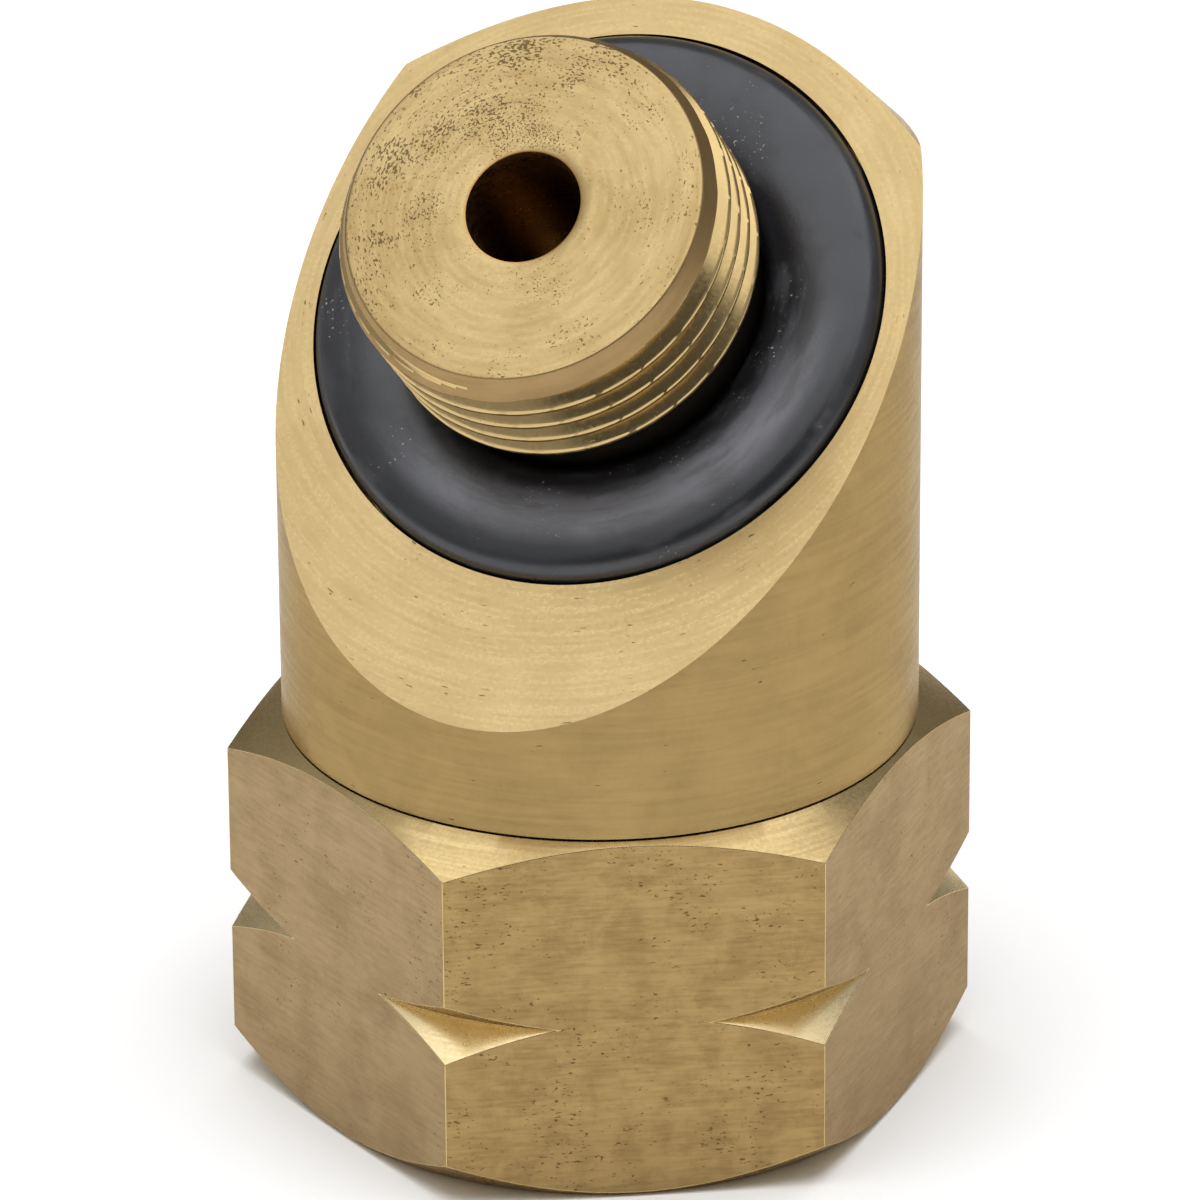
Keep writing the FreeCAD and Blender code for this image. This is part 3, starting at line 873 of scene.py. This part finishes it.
# %% [markdown]
# ## Inside the nut
#
# Looking up into the nut shows the stem's collar and the flat gasket on it. Both are simple
# turned pieces with softened edges. The small ring and washer that are sealed inside stay as
# the CAD made them, and only get a finish.

# %% Stem
STEM_BORE = 3.0
COLLAR_RADIUS = 9.5
COLLAR_FOOT = 11.0
COLLAR_TOP = 13.6
JOURNAL_RADIUS = 8.14
SPIGOT_RADIUS = 7.5
SPIGOT_TOP = 21.5
GROOVE_RADIUS = 6.3
GROOVE_FOOT = 19.0
GROOVE_TOP = 21.0
STEM_END_RADIUS = 6.0
STEM_TOP = 26.0

inlet_stem = turned("inlet_stem_turned", softened([
    (STEM_BORE, COLLAR_FOOT),
    (COLLAR_RADIUS, COLLAR_FOOT),
    (COLLAR_RADIUS, COLLAR_TOP),
    (JOURNAL_RADIUS, COLLAR_TOP),
    (JOURNAL_RADIUS, BODY_FOOT),
    (SPIGOT_RADIUS, BODY_FOOT),
    (SPIGOT_RADIUS, GROOVE_FOOT),
    (GROOVE_RADIUS, GROOVE_FOOT),
    (GROOVE_RADIUS, GROOVE_TOP),
    (SPIGOT_RADIUS, GROOVE_TOP),
    (SPIGOT_RADIUS, SPIGOT_TOP),
    (STEM_END_RADIUS, SPIGOT_TOP),
    (STEM_END_RADIUS, STEM_TOP),
    (STEM_BORE, STEM_TOP),
], 0.12), columns=192)
inlet_stem.data.materials.append(bore_painted_glow_brass)
shade_smooth(inlet_stem, 50)
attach(inlet_stem, "adapter_body")
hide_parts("inlet_stem")
print("stem faces:", len(inlet_stem.data.polygons))

# %% Gasket
GASKET_INNER = 4.2
GASKET_OUTER = 9.0
GASKET_FOOT = 10.4

inlet_gasket = turned("inlet_gasket_cut", softened([
    (GASKET_INNER, GASKET_FOOT),
    (GASKET_OUTER, GASKET_FOOT),
    (GASKET_OUTER, COLLAR_FOOT),
    (GASKET_INNER, COLLAR_FOOT),
], 0.1), columns=192)
inlet_gasket.data.materials.append(gasket_rubber)
shade_smooth(inlet_gasket, 50)
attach(inlet_gasket, "adapter_body")
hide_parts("inlet_gasket")
print("gasket faces:", len(inlet_gasket.data.polygons))


# %% Finish the sealed pieces
def finish_node(name, material):
    """Give a CAD node a material of its own."""
    node = frame["nodes"][name]
    node.data.materials.clear()
    node.data.materials.append(material)


finish_node("nipple_seat_washer", copper)
finish_node("stem_seal_ring", gasket_rubber)
print("kept CAD nodes finished: nipple_seat_washer, stem_seal_ring")

# %% [markdown]
# ## Floor and light
#
# Metal shows its surroundings, so the room is designed before the lamps. White panels hang
# nearly edge to edge above the object. The middle one is mirrored by the slope, the nipple's
# face and the thread's flanks, the front one by the rubber ring, and the back one and the
# corner one behind it by the nut's chamfer. The rest of the room is grey, dimmer behind, and
# there is one dark patch in front, which puts the brown bands into the thread. A last lamp
# only whitens the floor: polished surfaces do not see it. The panels' places are in metres.

# %% Floor
def add_floor():
    """A large pale floor under the object."""
    mesh = bpy.data.meshes.new("floor")
    reach = 3.0
    corners = [(-reach, -reach, 0), (reach, -reach, 0), (reach, reach, 0), (-reach, reach, 0)]
    mesh.from_pydata(corners, [], [(0, 1, 2, 3)])
    floor = new_piece("floor", mesh)
    material = bpy.data.materials.new("pale_floor")
    material.use_nodes = True
    shader = material.node_tree.nodes["Principled BSDF"]
    shader.inputs["Base Color"].default_value = (0.88, 0.88, 0.88, 1)
    shader.inputs["Roughness"].default_value = 0.9
    mesh.materials.append(material)
    return floor


floor = add_floor()
print("floor:", [round(side, 1) for side in floor.dimensions])


# %% Light
def add_panel(name, place, size, power, seen_in_metal):
    """A rectangular soft light that faces straight down."""
    data = bpy.data.lights.new(name, "AREA")
    data.shape = "RECTANGLE"
    data.size, data.size_y = size
    data.energy = power
    light = bpy.data.objects.new(name, data)
    light.location = place
    light.visible_glossy = seen_in_metal
    bpy.context.scene.collection.objects.link(light)
    return light


DARK_PATCH = (0.374, -0.826, 0.422)
PANEL_HEIGHT = 0.55
LAMP_HEIGHT = 1.6


def add_room(overhead, horizon, behind, dark):
    """A grey room: brighter above than at the sides, dimmer behind, with one dark patch in front."""
    world = bpy.data.worlds.new("studio")
    world.use_nodes = True
    tree = world.node_tree
    tree.nodes.clear()
    way = add_node(tree, "ShaderNodeTexCoord").outputs["Generated"]
    split = add_node(tree, "ShaderNodeSeparateXYZ", Vector=way)
    strength = ramp(tree, split.outputs["Z"], 0.0, 0.8, horizon, overhead)
    strength = maths(tree, "MULTIPLY", strength, ramp(tree, split.outputs["Y"], 0.1, 0.6, 1.0, behind))
    facing = vector_maths(tree, "DOT_PRODUCT", way, DARK_PATCH)["Value"]
    strength = maths(tree, "MULTIPLY", strength, ramp(tree, facing, 0.81, 0.86, 1.0, dark))
    sky = add_node(tree, "ShaderNodeBackground", Color=(1.0, 1.0, 1.0, 1), Strength=strength)
    output = add_node(tree, "ShaderNodeOutputWorld")
    tree.links.new(sky.outputs[0], output.inputs["Surface"])
    bpy.context.scene.world = world
    return world


add_room(overhead=0.50, horizon=0.38, behind=0.55, dark=0.25)
add_panel("middle_panel", (0.085, -0.17, PANEL_HEIGHT), (0.83, 0.28), 0.67, True)
add_panel("front_panel", (-0.115, -0.455, PANEL_HEIGHT), (0.43, 0.29), 0.39, True)
add_panel("back_panel", (0.06, 0.055, PANEL_HEIGHT), (0.78, 0.17), 0.48, True)
add_panel("corner_panel", (0.19, 0.24, PANEL_HEIGHT), (0.24, 0.20), 0.20, True)
add_panel("floor_lamp", (0.0, 0.0, LAMP_HEIGHT), (1.6, 1.6), 23.5, False)
bpy.context.scene.view_settings.view_transform = "Standard"
print("lights:", sorted(light.name for light in bpy.data.lights))
